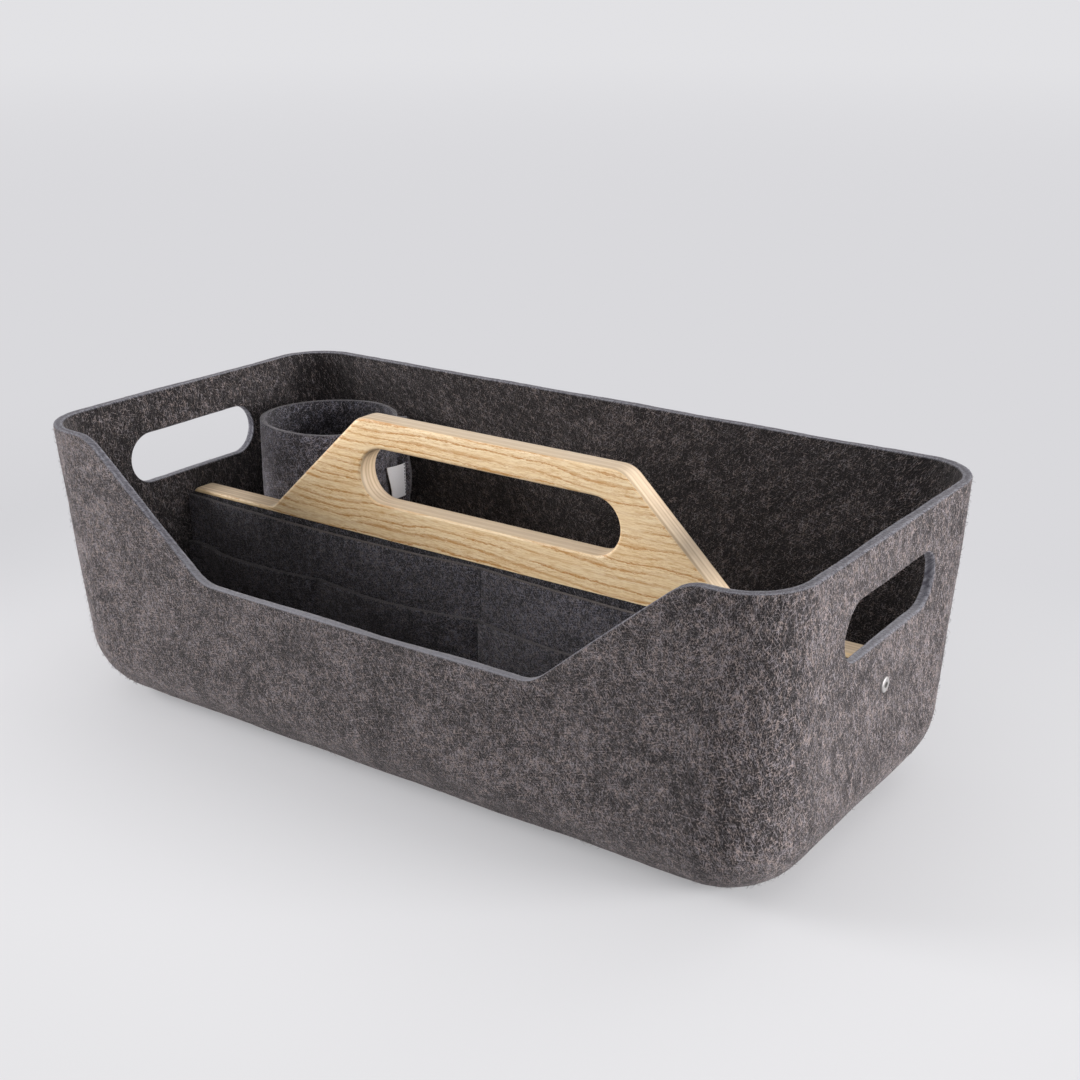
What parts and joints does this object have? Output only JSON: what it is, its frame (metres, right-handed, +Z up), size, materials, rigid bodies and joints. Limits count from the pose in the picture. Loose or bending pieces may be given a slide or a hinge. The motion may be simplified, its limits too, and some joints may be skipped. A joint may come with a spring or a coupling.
{
  "type": "desk caddy",
  "caption": "Open felt desk tray with a low front, a wooden carry handle along its middle, sewn pockets and a round felt pen cup.",
  "frame": {"origin": "middle of the tray's footprint, on the surface it stands on", "axes": "+X along the tray's length, -Y towards the low front wall, +Z up"},
  "size_m": [0.43, 0.2151, 0.1526],
  "materials": {
    "tray_felt": "mottled warm grey pressed felt with a fibrous surface and pale cut edges",
    "lining_felt": "bluish charcoal felt, slightly fuzzy",
    "thread": "dark grey sewing thread",
    "board_wood": "clear matt lacquered ash veneer on plywood, rounded edges",
    "screw_steel": "satin nickel plated",
    "insert_brass": "plain turned brass",
    "staple_steel": "galvanised wire",
    "tag_tape": "blank woven tape, off-white"
  },
  "bodies": {
    "caddy": {"felt_tray": "tray_felt", "handle_board": "board_wood", "end_screw_right": "screw_steel", "end_screw_left": "screw_steel", "end_insert_right": "insert_brass", "end_insert_left": "insert_brass", "divider_backing": "lining_felt", "tall_pocket": "lining_felt", "low_pocket": "lining_felt", "centre_seam_thread": "thread", "right_seam_thread": "thread", "left_seam_thread": "thread", "edge_seam_thread": "thread", "backing_staple_1": "staple_steel", "backing_staple_2": "staple_steel", "backing_staple_3": "staple_steel", "backing_staple_4": "staple_steel", "backing_staple_5": "staple_steel", "backing_staple_6": "staple_steel"},
    "pen_cup": {"cup_sleeve": "lining_felt", "cup_base": "lining_felt", "cup_foot_thread": "thread", "cup_side_thread": "thread", "cup_tag": "tag_tape", "tag_thread": "thread"}
  },
  "joints": [
    {"name": "pen_cup_lift", "type": "slide", "parent": "caddy", "child": "pen_cup", "axis": [0, 0, 1], "range_m": [0, 0.15]}
  ]
}
